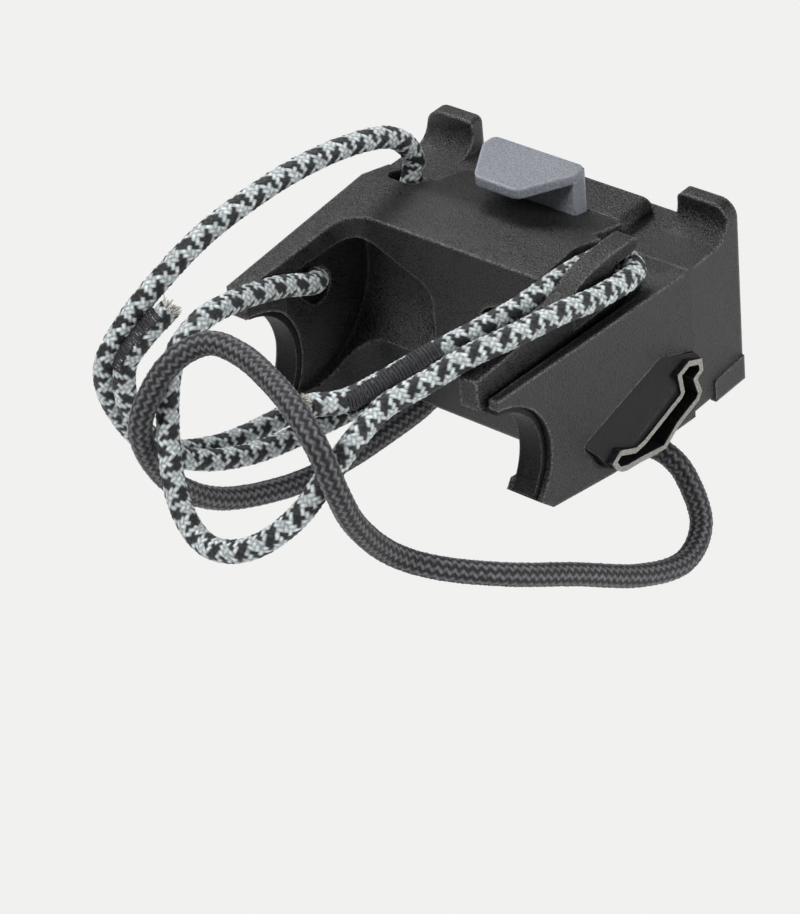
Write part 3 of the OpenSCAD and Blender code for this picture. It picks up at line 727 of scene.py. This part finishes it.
# Background: pale to the camera, a dim room to every other ray
BACKDROP = (0.879, 0.879, 0.872, 1)
ROOM_GREYS = ((0.0, (0.22, 0.22, 0.22)), (0.45, (0.2, 0.2, 0.2)), (0.7, (0.26, 0.26, 0.26)),
              (1.0, (0.4, 0.4, 0.41)))
world = bpy.data.worlds.new("studio")
scene.world = world
world.use_nodes = True
tree = world.node_tree
tree.nodes.clear()
out = tree.nodes.new("ShaderNodeOutputWorld")
seen = tree.nodes.new("ShaderNodeBackground")
seen.inputs["Color"].default_value = BACKDROP
room = tree.nodes.new("ShaderNodeBackground")
coords = tree.nodes.new("ShaderNodeTexCoord")
split = tree.nodes.new("ShaderNodeSeparateXYZ")
tree.links.new(coords.outputs["Generated"], split.inputs["Vector"])
room_colour = ramp(tree, mapped(tree, split.outputs["Z"], -1, 1, 0, 1), ROOM_GREYS)
tree.links.new(room_colour, room.inputs["Color"])
room.inputs["Strength"].default_value = 1.0
choose = tree.nodes.new("ShaderNodeMixShader")
rays = tree.nodes.new("ShaderNodeLightPath")
tree.links.new(rays.outputs["Is Camera Ray"], choose.inputs["Fac"])
tree.links.new(room.outputs["Background"], choose.inputs[1])
tree.links.new(seen.outputs["Background"], choose.inputs[2])
tree.links.new(choose.outputs["Shader"], out.inputs["Surface"])

AIM = (0, 0.04, 0.0)


def softbox(name, place, width, height, power):
    """A rectangular lamp that faces the middle of the mount."""
    data = bpy.data.lights.new(name, "AREA")
    data.shape = "RECTANGLE"
    data.size = width
    data.size_y = height
    data.energy = power
    obj = bpy.data.objects.new(name, data)
    scene.collection.objects.link(obj)
    obj.location = place
    direction = Vector(AIM) - Vector(place)
    obj.rotation_euler = direction.to_track_quat("-Z", "Y").to_euler()


softbox("key", (-0.5, 0.35, 0.75), width=0.45, height=0.35, power=4.5)
softbox("right", (0.85, 0.35, 0.2), width=0.35, height=0.5, power=4.5)
softbox("front", (-0.1, -0.6, 0.7), width=0.35, height=0.3, power=5.4)

# Floor, some way below the part, pale to the camera and matt to every other ray
FLOOR_DROP = 120 * MM
FLOOR_HALF = 2.0
FLOOR_SCALE = 3
floor_z = size_first[0][2] - FLOOR_DROP
floor_material, tree, shader = new_material("floor")
coords = add(tree, "ShaderNodeTexCoord").outputs["Object"]
FLOOR_GREYS = ((0.3, (0.78, 0.78, 0.775)), (0.7, (0.82, 0.82, 0.815)))
floor_tones = ramp(tree, noise(tree, coords, FLOOR_SCALE, detail=3), FLOOR_GREYS)
tree.links.new(floor_tones, shader.inputs["Base Color"])
shader.inputs["Roughness"].default_value = 0.9
glow = add(tree, "ShaderNodeEmission")
glow.inputs["Color"].default_value = BACKDROP
pale = add(tree, "ShaderNodeMixShader")
tree.links.new(add(tree, "ShaderNodeLightPath").outputs["Is Camera Ray"], pale.inputs["Fac"])
tree.links.new(shader.outputs["BSDF"], pale.inputs[1])
tree.links.new(glow.outputs["Emission"], pale.inputs[2])
tree.links.new(pale.outputs["Shader"], tree.nodes["Material Output"].inputs["Surface"])
floor_corners = [(x * FLOOR_HALF, y * FLOOR_HALF, floor_z) for x, y in ((-1, -1), (1, -1), (1, 1), (-1, 1))]
mesh_object("floor", floor_corners, [(0, 1, 2, 3)], [floor_material])

scene.view_settings.view_transform = "Standard"
scene.view_settings.look = "None"
scene.view_settings.exposure = 0
scene.view_settings.gamma = 1
